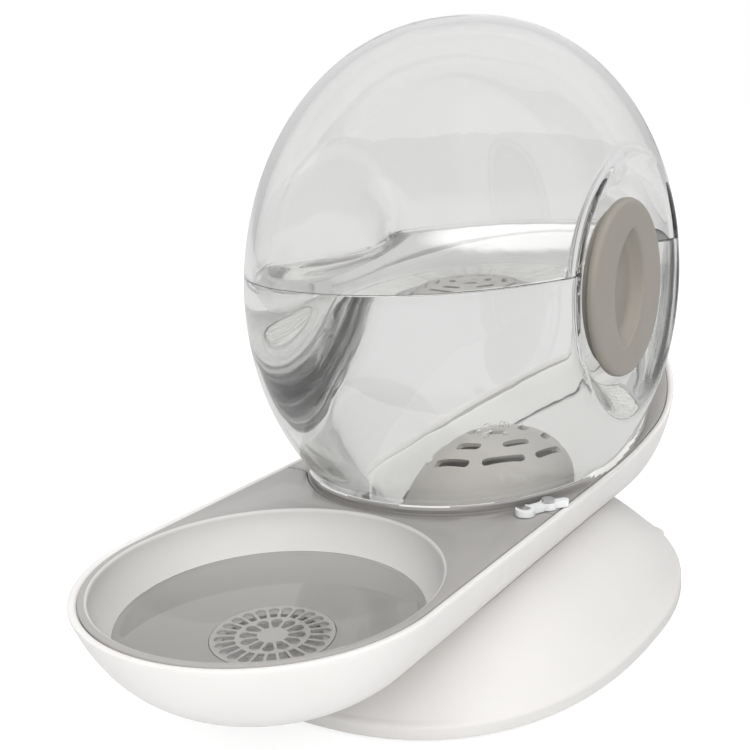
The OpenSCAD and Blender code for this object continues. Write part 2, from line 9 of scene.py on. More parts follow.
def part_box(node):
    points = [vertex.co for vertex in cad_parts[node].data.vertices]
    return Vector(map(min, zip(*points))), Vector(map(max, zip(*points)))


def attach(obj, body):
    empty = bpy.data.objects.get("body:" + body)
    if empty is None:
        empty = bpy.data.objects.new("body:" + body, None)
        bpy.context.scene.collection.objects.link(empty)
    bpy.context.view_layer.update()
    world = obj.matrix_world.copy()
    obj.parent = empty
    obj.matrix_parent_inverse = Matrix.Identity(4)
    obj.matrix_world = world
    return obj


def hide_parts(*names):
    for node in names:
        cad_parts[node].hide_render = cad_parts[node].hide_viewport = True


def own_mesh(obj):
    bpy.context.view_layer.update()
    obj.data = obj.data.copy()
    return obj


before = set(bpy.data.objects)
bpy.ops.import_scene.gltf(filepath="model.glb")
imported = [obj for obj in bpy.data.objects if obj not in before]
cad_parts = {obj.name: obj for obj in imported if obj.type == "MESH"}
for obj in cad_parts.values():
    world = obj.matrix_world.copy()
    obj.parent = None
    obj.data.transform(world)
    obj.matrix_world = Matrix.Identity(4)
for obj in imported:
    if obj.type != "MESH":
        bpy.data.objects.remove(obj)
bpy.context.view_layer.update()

# Sizes are in millimetres. Places are counted from the ground under the tank's
# centre, until shape() moves them into the row frame.
MM = 0.001
tank_low, tank_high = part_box("water_tank")
HOME_Y = (tank_low.y + tank_high.y) / 2 / MM

# Limits of the search for a wall, further out than any wall is
FAR = 150
TANK_FAR = 130

# Tank
TANK_R = 100
TANK_A = 76
TANK_FULLNESS = 2.25
TANK_WALL = 3
AXIS_Z = 120
TANK_FLOOR_Z = 44
TANK_FLOOR_BLEND = 3
RECESS_R = 47
DISH_R = 36
DISH_X = 59.5
DISH_FLOOR_BLEND = 1.5
DISH_EDGE_BLEND = 3.4
CONE_R = 6
CONE_X = 47
CONE_EDGE_BLEND = 10
NECK_R = 27.4
FILL_BORE_R = 25
NECK_END_X = 63.4
OUTLET_R = 26
OUTLET_BORE_R = 23.4
OUTLET_END_Z = 37
OUTLET_SINK = 0.3
STRAINER_R = 22.8
STRAINER_DOME_Z = 52

# Water
TANK_WATER_Z = 130.9
BOWL_WATER_Z = 35.3
# How far water reaches into the walls that hold it, so that no air lies between
WETTING = 0.55
# The water's raised edge, as pairs of distance from the wall and rise
EDGE_SPAN = 3.4
TANK_WATER_EDGE = ((0, 1.0), (0.55, 0.75), (0.9, 0.42), (1.4, 0.2), (2.2, 0.06), (EDGE_SPAN, 0))
BOWL_WATER_EDGE = ((EDGE_SPAN, 0), (2.2, 0.06), (1.4, 0.2), (0.9, 0.42), (0.4, 0.75), (0.05, 1.0))
DOME_BUBBLES = 12
WALL_BUBBLES = 14
WALL_BUBBLE_R = 88

# Fill cap
CAP_R = 32.5
CAP_X = 66
CAP_BACK_X = 59.8
CAP_EDGE = 2.2
CAP_BRIM = 3.0
CAP_SKIRT_R = 29.2
CAP_PLATE = 1.8
CAP_PLUG_R = FILL_BORE_R - 1.5
GRIP_LEN = 43
GRIP_W = 27
GRIP_DEPTH = 5
GRIP_TURN = radians(12)
GRIP_WALL = 2
GRIP_LIP = 1.2
# The finger recess's section: share of its outline and rise over its floor, then
# distance outside its outline and drop under the cap's face
GRIP_FLOOR = ((0.3, 0), (0.6, 0), (0.78, 0.1), (0.86, 0.4), (0.91, 0.95), (0.94, 1.7))
GRIP_EDGE = ((0.1, 0.75), (0.35, 0.35), (0.75, 0.1), (1.3, 0.0))

# Hull, deck and bowl
HULL_R = 66
HULL_FULL_Z = 95
HULL_KEEL_Z = 13
HULL_FULLNESS = 2.75
HULL_WALL = 2.4
DECK_Z = 50
DECK_H = 2.5
SWEEP_R = 140
TANK_FRONT = sqrt(TANK_R ** 2 - (AXIS_Z - DECK_Z) ** 2)
# Gap between parts that are laid in or stand on each other
FIT = 0.3
DECK_INSET = HULL_WALL + FIT
BOWL_R = 55
BOWL_GAP = 8.6
BOW_Y = -TANK_FRONT - BOWL_GAP - BOWL_R
STERN_Y = 40
BOWL_FLOOR_Z = 21
BOWL_DIP = 31
BOWL_WALL = 2
BOWL_EDGE = 1.3
# Turn from the bowl's lowest point to where its curve meets its flat floor
BOWL_FLOOR_TURN = 22.5
GRATE_R = 20
GRATE_SINK = 1.4
GRATE_HOLE_R = 16
GRATE_SEAT = 2
RIM_EDGE = 0.8
LEDGE_W = 2.2
LEDGE_H = 4
# How far behind the bowl's centre the ledge starts
LEDGE_START = 25
LEDGE_END_Y = -0.42 * TANK_FRONT
# Power that crowds the hull's rings towards its keel
KEEL_CROWDING = 2.4
JOINT_BACK = 20.4
JOINT_Y = JOINT_BACK - TANK_FRONT
JOINT_R = 57
JOINT_BLEND_R = 8
LIP_GAP = 0.5
LIP_W = 1.7
LIP_H = 4
# How far out the lip is white
LIP_LINE = 0.8
# Deck between the lip and the cross joint, in front of the tank
JOINT_MARGIN = 3.4
JOINT_C_Y = JOINT_R - TANK_FRONT - LIP_GAP - LIP_W - JOINT_MARGIN
POST_R = 3.5
POST_FOOT_R = 7
POST_LOW_Z = 14
POST_TOP_Z = 31
CLIP_LEN = 10
CLIP_TURN = radians(-26)
PEG_R = 1.3

# Foot
FOOT_R = 85
FOOT_FRONT_Y = -49.5
FOOT_REAR_Y = -5.5
FOOT_MID_Y = (FOOT_FRONT_Y + FOOT_REAR_Y) / 2
FOOT_BASE_Z = 0.6
FOOT_BAND_H = 4.5
FOOT_KNEE = 1.8
FOOT_WALL = 2.8
# How far the flare's pull point lies inside the band and under the seam
FLARE_IN = 20
FLARE_DOWN = 7.5
SEAM_Z = 30
SEAM_GAP = 0.12
FOOT_HALF_W = 87
FOOT_HALF_LEN = FOOT_R + (FOOT_REAR_Y - FOOT_FRONT_Y) / 2
FOOT_FRONT_FULLNESS = 2.6
FOOT_REAR_FULLNESS = 2.05
PLATE_Z = 12.7
PLATE_H = 2.5
BOSS_R = 4
BOSS_X = 22
BOSS_DY = 62
BOSS_TOP_Z = 21
PAD_R = 7
PAD_TOP_Z = 2
PAD_BOSS_R = PAD_R + 1.8
PAD_BOSS_TOP_Z = 5.6


def smooth_min(a, b, k):
    """The lower of two values, blended where they are closer than k."""
    h = np.clip(0.5 + 0.5 * (b - a) / k, 0, 1)
    return b + (a - b) * h - k * h * (1 - h)


def smooth_max(a, b, k):
    return -smooth_min(-a, -b, k)


def points(x, y, z):
    """Rows of x, y and z, each a number or one number for each point."""
    return np.stack(np.broadcast_arrays(x, y, z), axis=-1).astype(float)


def circle(steps):
    """Directions all round, one to a row."""
    turn = np.arange(steps) * 2 * pi / steps
    return np.stack([np.cos(turn), np.sin(turn)], axis=-1)


def soft(corners):
    """A profile of corners (across, up, cut), each rounded from cut before it to cut after it."""
    steps = 4
    profile = []
    for i, (across, up, cut) in enumerate(corners):
        corner = np.array([across, up], float)
        if not cut:
            profile.append(corner)
            continue
        before = np.array(corners[i - 1][:2]) - corner
        after = np.array(corners[(i + 1) % len(corners)][:2]) - corner
        start = corner + before / np.linalg.norm(before) * cut
        end = corner + after / np.linalg.norm(after) * cut
        for t in np.linspace(0, 1, steps + 1):
            profile.append((1 - t) ** 2 * start + 2 * t * (1 - t) * corner + t * t * end)
    return profile


def lean(a, b, c, steps):
    """Points on a curve from a to c that leans to b."""
    a, b, c = (np.array(p, float) for p in (a, b, c))
    return [(1 - t) ** 2 * a + 2 * t * (1 - t) * b + t * t * c for t in np.linspace(0, 1, steps)]


def turned(profile, centre=(0, 0), steps=96):
    """Rings of a profile of radius and height, turned about an upright axis."""
    ways = circle(steps)
    return [points(centre[0] + r * ways[:, 0], centre[1] + r * ways[:, 1], z) if r > 1e-6
            else points([centre[0]], [centre[1]], z) for r, z in profile]


def turned_on_x(profile, steps):
    """Rings of a profile of radius and x, turned about the tank's axis."""
    ways = circle(steps)
    return [points(x, r * ways[:, 0], AXIS_Z + r * ways[:, 1]) if r > 1e-6
            else points([x], [0], AXIS_Z) for r, x in profile]


def two_ended(front_y, rear_y, arc, side):
    """Centres and outward directions along a path with two half round ends."""
    back = np.linspace(0, pi, arc, endpoint=False)
    front = back + pi
    run = np.linspace(rear_y, front_y, side, endpoint=False)
    home_run = run[::-1] - run[-1] + front_y
    turn = np.concatenate([back, np.full(side, pi), front, np.full(side, 2 * pi)])
    y = np.concatenate([np.full(arc, rear_y), run, np.full(arc, front_y), home_run])
    centres = np.stack([np.zeros_like(y), y], axis=-1)
    return centres, np.stack([np.cos(turn), np.sin(turn)], axis=-1)


def reach(inside, limit, rows):
    """Furthest distance at which inside() still holds, for each of the rows."""
    low, high = np.zeros(rows), np.full(rows, float(limit))
    for _ in range(40):
        mid = (low + high) / 2
        held = inside(mid)
        low, high = np.where(held, mid, low), np.where(held, high, mid)
    return low


def skin(rings, wrap):
    """Faces over rings of points, joined in order. A ring of one point closes an end."""
    starts = np.cumsum([0] + [len(ring) for ring in rings])
    faces = []
    pairs = [(i, i + 1) for i in range(len(rings) - 1)]
    if wrap:
        pairs.append((len(rings) - 1, 0))
    for a, b in pairs:
        many = max(len(rings[a]), len(rings[b]))
        for i in range(many):
            k = (i + 1) % many
            if len(rings[a]) == 1:
                faces.append((starts[a], starts[b] + k, starts[b] + i))
            elif len(rings[b]) == 1:
                faces.append((starts[a] + i, starts[a] + k, starts[b]))
            else:
                faces.append((starts[a] + i, starts[a] + k, starts[b] + k, starts[b] + i))
    return np.vstack(rings), faces


def add_object(name, data):
    """A new object with its data, shown in the scene."""
    added = bpy.data.objects.new(name, data)
    bpy.context.scene.collection.objects.link(added)
    return added


def shape(name, shells, material, body="base", node=None):
    """A piece made of closed shells of rings, moved into the row frame. A shell is (rings, wrap)."""
    verts, faces = [], []
    for rings, wrap in shells:
        shell_verts, shell_faces = skin(rings, wrap)
        first = sum(len(v) for v in verts)
        faces += [tuple(int(first + i) for i in face) for face in shell_faces]
        verts.append(shell_verts)
    verts = (np.vstack(verts) + [0, HOME_Y, 0]) * MM
    mesh = bpy.data.meshes.new(name)
    mesh.from_pydata(verts.tolist(), [], faces)
    bm = bmesh.new()
    bm.from_mesh(mesh)
    bmesh.ops.remove_doubles(bm, verts=bm.verts, dist=1e-6)
    bmesh.ops.recalc_face_normals(bm, faces=bm.faces)
    bm.to_mesh(mesh)
    bm.free()
    smooth(mesh)
    piece = add_object(name, mesh)
    mesh.materials.append(material)
    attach(piece, body)
    if node:
        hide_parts(node)
    return piece


def smooth(mesh, sharp=35):
    """Smooth shading, with edges sharper than an angle kept."""
    mesh.shade_smooth()
    mesh.set_sharp_from_angle(angle=radians(sharp))


# Materials

class Nodes:
    """Short ways to make and link the nodes of a material or a world."""

    def __init__(self, owner, output):
        owner.use_nodes = True
        self.owner = owner
        self.tree = owner.node_tree
        self.tree.nodes.clear()
        self.out = self.add(output)

    def feed(self, socket, value):
        """Links a socket to another, or gives it a fixed value."""
        if isinstance(value, bpy.types.NodeSocket):
            self.tree.links.new(value, socket)
        else:
            socket.default_value = value

    def add(self, kind, **values):
        """A node whose settings and inputs take the values. An input's spaces are written as _."""
        node = self.tree.nodes.new(kind)
        for key, value in values.items():
            if hasattr(node, key):
                setattr(node, key, value)
            else:
                self.feed(node.inputs[key.replace("_", " ")], value)
        return node

    def join(self, kind, *sources, gives=0, **values):
        """The output of a node whose first inputs take the sources."""
        node = self.add(kind, **values)
        for socket, source in zip(node.inputs, sources):
            self.feed(socket, source)
        return node.outputs[gives]

    def ramp(self, source, given, wanted, **values):
        """A value brought from the given range to the wanted one, and held inside it."""
        node = self.add("ShaderNodeMapRange", Value=source, From_Min=given[0], From_Max=given[1],
                        To_Min=wanted[0], To_Max=wanted[1], **values)
        return node.outputs["Result"]

    def show(self, shader):
        """Makes a shader the surface, and gives back the material or world."""
        self.feed(self.out.inputs["Surface"], shader)
        return self.owner


# Depths and sizes in materials are in metres
PLASTIC_IOR = 1.49
WATER_IOR = 1.333
BUBBLE_IOR = 0.75
GLOSS_DRIFT = 0.04
GLOSS_PATCH = 0.012
TINT_DRIFT = 0.03
TINT_PATCH = 0.03
WAVE_SIZE = 0.03


def new_material(name):
    return Nodes(bpy.data.materials.new(name), "ShaderNodeOutputMaterial")


def opaque(colour):
    """A colour with its fourth value."""
    return (*colour, 1)


def surface_place(nodes):
    return nodes.add("ShaderNodeTexCoord").outputs["Object"]


def grain(nodes, place, depth, size):
    """A normal for a surface with fine bumps."""
    fine = nodes.add("ShaderNodeTexNoise", noise_dimensions="4D", Vector=place, Scale=1 / size,
                     Detail=3.0, Roughness=0.6)
    bump = nodes.add("ShaderNodeBump", Strength=1.0, Distance=depth, Height=fine.outputs["Fac"])
    return bump.outputs["Normal"]


def drift(nodes, place, low, high, size):
    """A value that drifts between low and high over the surface."""
    cloud = nodes.add("ShaderNodeTexNoise", Vector=place, Scale=1 / size, Detail=2.0)
    return nodes.ramp(cloud.outputs["Fac"], (0.3, 0.7), (low, high))


def moulded(name, colour, rough, depth=0.00002, size=0.0006, soft_light=0.0):
    """Satin moulded plastic: fine grain, and colour and gloss that drift a little."""
    nodes = new_material(name)
    place = surface_place(nodes)
    gloss = drift(nodes, place, rough - GLOSS_DRIFT, rough + GLOSS_DRIFT, GLOSS_PATCH)
    tint = nodes.add("ShaderNodeMix", data_type="RGBA", A=opaque(c * (1 - TINT_DRIFT) for c in colour),
                     B=opaque(colour), Factor=drift(nodes, place, 0.0, 1.0, TINT_PATCH))
    plastic = nodes.add("ShaderNodeBsdfPrincipled", IOR=PLASTIC_IOR, Roughness=gloss,
                        Base_Color=tint.outputs["Result"], Normal=grain(nodes, place, depth, size))
    if soft_light:
        plastic.inputs["Subsurface Weight"].default_value = soft_light
        plastic.inputs["Subsurface Radius"].default_value = (0.003, 0.003, 0.0028)
        plastic.inputs["Subsurface Scale"].default_value = 1.0
    return nodes.show(plastic.outputs["BSDF"])


def glassy(name, colour, ior, rough=0.0, wave=0.0):
    """Clear matter that lets the lamps through to what it holds."""
    nodes = new_material(name)
    glass = nodes.add("ShaderNodeBsdfPrincipled", IOR=ior, Roughness=rough, Base_Color=opaque(colour),
                      Transmission_Weight=1.0)
    if wave:
        nodes.feed(glass.inputs["Normal"], grain(nodes, surface_place(nodes), wave, WAVE_SIZE))
    clear = nodes.add("ShaderNodeBsdfTransparent", Color=opaque(c ** 0.5 for c in colour))
    path = nodes.add("ShaderNodeLightPath").outputs
    return nodes.show(nodes.join("ShaderNodeMixShader", path["Is Shadow Ray"], glass.outputs["BSDF"],
                                 clear.outputs["BSDF"]))


def steel(name):
    """Stainless steel with a fine grain."""
    nodes = new_material(name)
    metal = nodes.add("ShaderNodeBsdfPrincipled", Metallic=1.0, Roughness=0.3,
                      Base_Color=opaque((0.62, 0.62, 0.64)),
                      Normal=grain(nodes, surface_place(nodes), 0.00001, 0.0002))
    return nodes.show(metal.outputs["BSDF"])


SHELL_WHITE = moulded("shell_white", (0.80, 0.786, 0.77), rough=0.38, soft_light=0.08)
# The foot's white is the shell's white made darker: painted shade on the foot's sloped faces, which the top
# lamp lights more.
FOOT_PAINTED_SHADE_WHITE = moulded("foot_painted_shade_white", (0.68, 0.665, 0.65), rough=0.42, soft_light=0.08)
DECK_GREY = moulded("deck_grey", (0.385, 0.372, 0.362), rough=0.45)
# The bowl's inside is the deck's grey plastic made lighter: painted light on the bowl's walls.
BOWL_PAINTED_LIGHT_GREY = moulded("bowl_painted_light_grey", (0.66, 0.65, 0.635), rough=0.36)
GRATE_GREY = moulded("grate_grey", (0.64, 0.63, 0.615), rough=0.35)
CAP_TAUPE = moulded("cap_taupe", (0.285, 0.263, 0.228), rough=0.40)
# Brighter than the other whites: painted light that makes up for light lost in the tank's walls and water
# in front of the cradle and the lip.
CRADLE_PAINTED_LIGHT_WHITE = moulded("cradle_painted_light_white", (0.95, 0.945, 0.93), rough=0.36, soft_light=0.1)
STRAINER_GREY = moulded("strainer_grey", (0.58, 0.558, 0.53), rough=0.42)
PART_WHITE = moulded("part_white", (0.84, 0.84, 0.83), rough=0.36)
RUBBER = moulded("rubber", (0.05, 0.05, 0.052), rough=0.62, depth=0.00004, size=0.0009)
SILICONE = moulded("silicone", (0.70, 0.70, 0.68), rough=0.5, soft_light=0.3)
CLIP_WHITE = moulded("clip_white", (0.80, 0.81, 0.81), rough=0.3, soft_light=0.4)
STEEL = steel("steel")
CLEAR = glassy("clear_plastic", (0.993, 0.992, 0.989), PLASTIC_IOR, rough=0.015, wave=0.00006)
WATER = glassy("water", (0.99, 0.995, 0.993), WATER_IOR)
# Grey tint that darkens the bowl seen through its water: partly the real darkening of a wet surface, partly
# painted shade.
WET_AND_PAINTED_SHADE_WATER = glassy("wet_and_painted_shade_water", (0.63, 0.63, 0.62), WATER_IOR)
AIR = glassy("air_in_water", (1.0, 1.0, 1.0), BUBBLE_IOR)


# Tank

def tank_x(r, grow=0.0):
    """Half thickness of the tank without its recesses, at a distance from its axis."""
    share = np.clip(1 - (r / (TANK_R + grow)) ** 2, 0, 1)
    return (TANK_A + grow) * share ** (1 / TANK_FULLNESS)


def flank(r, floor_r, floor_x, floor_blend, edge_blend, wall):
    """Distance of a recessed flank from the tank's middle plane, moved in by wall."""
    rise = (tank_x(RECESS_R) - floor_x) / (RECESS_R - floor_r)
    shift = wall * tan(atan(rise) / 2)
    recess = floor_x - wall + rise * smooth_max(0, r - floor_r - shift, floor_blend)
    return smooth_min(tank_x(r, -wall), recess, edge_blend)


def dish_side(r, wall=0.0):
    return flank(r, DISH_R, DISH_X, DISH_FLOOR_BLEND, DISH_EDGE_BLEND, wall)


def cone_side(r, wall=0.0):
    return flank(r, CONE_R, CONE_X, CONE_R, CONE_EDGE_BLEND, wall)


def flattened(rings, floor_z):
    """Rings with what hangs under a level floor pressed up to it."""
    for ring in rings:
        ring[:, 2] = smooth_max(ring[:, 2], floor_z, TANK_FLOOR_BLEND)
    return rings


def make_tank():
    """The blown tank: outer and inner faces with both recesses, the fill neck and the outlet's neck."""
    steps = 240
    out_r = TANK_R * np.sin(np.linspace(0, pi / 2, 96))
    in_r = (TANK_R - TANK_WALL) * np.sin(np.linspace(0, pi / 2, 90))
    outer = [(r, -cone_side(r)) for r in out_r]
    outer += [(r, dish_side(r)) for r in out_r[-2::-1] if r > NECK_R + 1]
    neck = soft([(NECK_R + 1, DISH_X, 0), (NECK_R, DISH_X, 0.7), (NECK_R, NECK_END_X, 0.4),
                 (FILL_BORE_R, NECK_END_X, 0.4), (FILL_BORE_R, DISH_X - TANK_WALL, 0.6),
                 (FILL_BORE_R + 1, DISH_X - TANK_WALL, 0)])[1:-1]
    inner = [(r, dish_side(r, TANK_WALL)) for r in in_r if r > FILL_BORE_R + 1]
    inner += [(r, -cone_side(r, TANK_WALL)) for r in in_r[-2::-1]]
    rings = flattened(turned_on_x(outer, steps), TANK_FLOOR_Z) + turned_on_x(neck, steps)
    rings += flattened(turned_on_x(inner, steps), TANK_FLOOR_Z + TANK_WALL)
    tank = shape("tank_body", [(rings, False)], CLEAR, node="water_tank")
    cut_round_hole(tank, OUTLET_BORE_R)
    top = TANK_FLOOR_Z + OUTLET_SINK
    neck_rings = turned(soft([(OUTLET_R, top, 0), (OUTLET_R, OUTLET_END_Z, 0.4),
                              (OUTLET_BORE_R, OUTLET_END_Z, 0.4), (OUTLET_BORE_R, top, 0)]))
    shape("tank_outlet_neck", [(neck_rings, True)], CLEAR)


def cut_round_hole(piece, radius):
    """Cuts an upright round hole through the tank's bottom."""
    low, high = TANK_FLOOR_Z - 6, TANK_FLOOR_Z + 8
    rings = turned([(0, low), (radius, low), (radius, high), (0, high)])
    cutter = shape("hole_cutter", [(rings, False)], CLEAR)
    cut = piece.modifiers.new("hole", "BOOLEAN")
    cut.object = cutter
    cut.operation = "DIFFERENCE"
    cut.solver = "EXACT"
    done = bpy.data.meshes.new_from_object(piece.evaluated_get(bpy.context.evaluated_depsgraph_get()))
    piece.modifiers.clear()
    piece.data = done
    smooth(done)
    bpy.data.objects.remove(cutter)


# Water

def make_tank_water():
    """The stored water, wetting the walls, with a raised edge at its surface."""
    steps = 300
    ways = circle(steps)
    wall = TANK_WALL - WETTING
    floor_z = TANK_FLOOR_Z + wall

    def outline(z):
        def inside(far):
            x, y = far * ways[:, 0], far * ways[:, 1]
            r = np.hypot(y, z - AXIS_Z)
            return (x < dish_side(r, wall)) & (x > -cone_side(r, wall)) & (r < TANK_R - wall)
        return reach(inside, TANK_FAR, steps)

    def ring(far, z):
        return points(far * ways[:, 0], far * ways[:, 1], z)

    bore = OUTLET_BORE_R + WETTING
    rings = [points([0], [0], OUTLET_END_Z), ring(bore, OUTLET_END_Z), ring(bore, floor_z)]
    near_floor = floor_z + np.linspace(0, 4, 9) ** 1.3
    above = np.linspace(56, TANK_WATER_Z - 1, 76)
    rings += [ring(outline(z), z) for z in np.concatenate([near_floor, above])]
    edge = outline(TANK_WATER_Z)
    rings += [ring(edge - back, TANK_WATER_Z + up) for back, up in TANK_WATER_EDGE]
    rings += [ring((edge - EDGE_SPAN) * share, TANK_WATER_Z) for share in (0.85, 0.6, 0.3)]
    rings.append(points([0], [0], TANK_WATER_Z))
    shape("tank_water", [(rings, False)], WATER)


def bowl_curve(grow, start, end, steps):
    """Points of radius and height on the bowl's wall, between two turns from its lowest point."""
    turn = np.radians(np.linspace(start, end, steps))
    return [((BOWL_R + grow) * sin(t), DECK_Z - (BOWL_DIP + grow) * cos(t)) for t in turn]


def make_bowl_water():
    """The water in the bowl and under its grate."""
    high = np.degrees(np.arccos((DECK_Z - BOWL_WATER_Z) / (BOWL_DIP + WETTING)))
    edge = (BOWL_R + WETTING) * sin(radians(high))
    profile = [(0, BOWL_WATER_Z), (edge * 0.5, BOWL_WATER_Z)]
    profile += [(edge - back, BOWL_WATER_Z + up) for back, up in BOWL_WATER_EDGE]
    profile += bowl_curve(WETTING, high, BOWL_FLOOR_TURN, 40)
    sunk = BOWL_FLOOR_Z - GRATE_SINK - WETTING
    low = 15
    profile += [(GRATE_R + FIT + WETTING, BOWL_FLOOR_Z), (GRATE_R + FIT + WETTING, sunk),
                (GRATE_HOLE_R + WETTING, sunk), (GRATE_HOLE_R + WETTING, low), (0, low)]
    # The water's grey tint is partly a wet surface's darkening and partly painted shade.
    shape("bowl_water", [(turned(profile, (0, BOW_Y), 180), False)], WET_AND_PAINTED_SHADE_WATER)


def ball(centre, radius):
    """Rings of a small sphere."""
    turn = np.linspace(0, pi, 9)
    rings = turned([(radius * sin(t), centre[2] - radius * cos(t)) for t in turn],
                   centre[:2], 14)
    return rings, False


def make_bubbles():
    """Air bubbles on the strainer and under the water's edge."""
    rng = np.random.default_rng(7)
    shells = []
    for _ in range(DOME_BUBBLES):
        turn, lift = rng.uniform(-1.9, 0.4), rng.uniform(58, 84)
        r = STRAINER_R + 0.5
        across = r * cos(radians(lift))
        centre = (across * cos(turn), across * sin(turn), STRAINER_DOME_Z + r * sin(radians(lift)))
        shells.append(ball(centre, rng.uniform(0.4, 1.2)))
    for _ in range(WALL_BUBBLES):
        turn = rng.uniform(pi * 1.12, pi * 1.42)
        z = TANK_WATER_Z - rng.uniform(2, 11)
        y = WALL_BUBBLE_R * sin(turn)
        x = -tank_x(np.hypot(y, z - AXIS_Z), -TANK_WALL - 1.0)
        shells.append(ball((float(x), y, z), rng.uniform(0.4, 1.0)))
    shape("water_bubbles", shells, AIR)


# Fill cap

def make_fill_cap():
    """Round cap with a soft rim, a lens-shaped finger recess and a skirt over the neck."""
    ways = circle(240)
    arc_r = (GRIP_LEN ** 2 + GRIP_W ** 2) / (4 * GRIP_W)
    offset = arc_r - GRIP_W / 2
    blunting = 0.0004
    across = np.sqrt((ways[:, 0] * cos(GRIP_TURN) - ways[:, 1] * sin(GRIP_TURN)) ** 2 + blunting)
    lens = -offset * across + np.sqrt((offset * across) ** 2 + (GRIP_LEN / 2) ** 2)

    def ring(far, x):
        return points(x, far * ways[:, 0], AXIS_Z + far * ways[:, 1])

    deep = CAP_X - GRIP_DEPTH
    floor_share, floor_rise = GRIP_FLOOR[-1]
    lens_edge, _ = GRIP_EDGE[-1]
    wall_rise = GRIP_DEPTH - floor_rise - GRIP_LIP
    rings = [points([deep], [0], AXIS_Z)]
    rings += [ring(lens * share, deep + up) for share, up in GRIP_FLOOR]
    rings += [ring(lens * (floor_share + (1 - floor_share) * t), deep + floor_rise + wall_rise * t)
              for t in (0.4, 0.7, 1.0)]
    rings += [ring(lens + out, CAP_X - down) for out, down in GRIP_EDGE]
    rim = CAP_R - CAP_EDGE
    rings += [ring((lens + lens_edge) * (1 - t) + rim * t, CAP_X) for t in (0.25, 0.5, 0.75, 1.0)]
    rings += [ring(rim + CAP_EDGE * sin(t), CAP_X - CAP_EDGE + CAP_EDGE * cos(t))
              for t in np.radians([15, 30, 45, 60, 75, 90])]
    seal_x, plug_x = CAP_X - CAP_PLATE, deep - GRIP_WALL
    back = soft([(CAP_R, CAP_X - CAP_EDGE, 0), (CAP_R, CAP_X - CAP_BRIM, 0.35),
                 (CAP_SKIRT_R, CAP_X - CAP_BRIM - 0.4, 0.5), (CAP_SKIRT_R, CAP_BACK_X, 0.3),
                 (NECK_R + FIT, CAP_BACK_X, 0.3), (NECK_R + FIT, seal_x, 0),
                 (CAP_PLUG_R, seal_x, 0), (CAP_PLUG_R, plug_x, 0.6), (0, plug_x, 0)])[1:]
    rings += [ring(r, x) if r > 0 else points([x], [0], AXIS_Z) for r, x in back]
    shape("cap_body", [(rings, False)], CAP_TAUPE, body="cap", node="fill_cap")


# Hull

def hull_half(z, shrink=0.0):
    """Half width of the hull's form at a height."""
    down = np.clip((HULL_FULL_Z - z) / (HULL_FULL_Z - HULL_KEEL_Z - shrink), 0, 1)
    return (HULL_R - shrink) * (1 - down ** HULL_FULLNESS) ** (1 / HULL_FULLNESS)


def hull_bottom(half, shrink):
    """Height of the hull's form at a half width."""
    share = np.clip(half / (HULL_R - shrink), 0, 1)
    deep = HULL_FULL_Z - HULL_KEEL_Z - shrink
    return HULL_FULL_Z - deep * (1 - share ** HULL_FULLNESS) ** (1 / HULL_FULLNESS)


def deck_top(y):
    """Height of the deck, level and then swept up the stern."""
    return DECK_Z + SWEEP_R - np.sqrt(SWEEP_R ** 2 - np.clip(y, 0, SWEEP_R) ** 2)


def make_hull():
    """The boat-shaped shell with its soft rim, its ledge, the valve's post and the bosses."""
    centres, ways = two_ended(BOW_Y, STERN_Y, arc=110, side=60)

    def rim_z(shrink):
        z = np.full(len(ways), float(DECK_Z))
        for _ in range(30):
            z = deck_top(centres[:, 1] + hull_half(z, shrink) * ways[:, 1])
        return z

    def ring(z, shrink, inset=0.0):
        far = hull_half(z, shrink) - inset
        return points(far * ways[:, 0], centres[:, 1] + far * ways[:, 1], z)

    def wall(shrink, top, shares):
        keel = HULL_KEEL_Z + shrink
        return [ring(keel + (top - keel) * t ** KEEL_CROWDING, shrink) for t in shares]

    outer_top, inner_top = rim_z(0.0) - RIM_EDGE, rim_z(HULL_WALL) - RIM_EDGE
    rings = wall(0.0, outer_top, np.linspace(0, 1, 64))
    rim = ((0.25, 0.24), (RIM_EDGE, 0.0), (HULL_WALL - RIM_EDGE, 0.0), (HULL_WALL - 0.25, 0.24))
    rings += [ring(rim_z(inset) - down, inset) for inset, down in rim]
    behind_bowl = np.clip((centres[:, 1] - BOW_Y - LEDGE_START) / 10, 0, 1)
    before_end = np.clip((LEDGE_END_Y - centres[:, 1]) / 6, 0, 1)
    ledge = LEDGE_W * (behind_bowl * before_end)
    ledge_top = inner_top + RIM_EDGE - DECK_H
    ledge_low = ledge_top - LEDGE_H
    rings += [ring(inner_top, HULL_WALL), ring(ledge_top, HULL_WALL),
              ring(ledge_top, HULL_WALL, ledge), ring(ledge_low, HULL_WALL, ledge),
              ring(ledge_low - 0.4, HULL_WALL)]
    rings += wall(HULL_WALL, ledge_low - 0.6, np.linspace(1, 0, 30))
    post = [(0, POST_LOW_Z), (POST_FOOT_R, POST_LOW_Z), (POST_R, POST_TOP_Z), (0, POST_TOP_Z)]
    shells = [(rings, False), (turned(post, steps=32), False)]
    boss = [(0, PLATE_Z), (BOSS_R, PLATE_Z), (BOSS_R, BOSS_TOP_Z), (0, BOSS_TOP_Z)]
    for x in (-BOSS_X, BOSS_X):
        for y in (FOOT_MID_Y - BOSS_DY, FOOT_MID_Y + BOSS_DY):
            shells.append((turned(boss, (x, y), 24), False))
    shape("hull_body", shells, SHELL_WHITE, node="hull_shell")


# Deck parts

def in_hull(x, y, z, shrink):
    """Whether points lie inside the hull's form."""
    past_end = np.where(y > STERN_Y, y - STERN_Y, np.where(y < BOW_Y, BOW_Y - y, 0))
    return np.hypot(x, past_end) < hull_half(z, shrink)


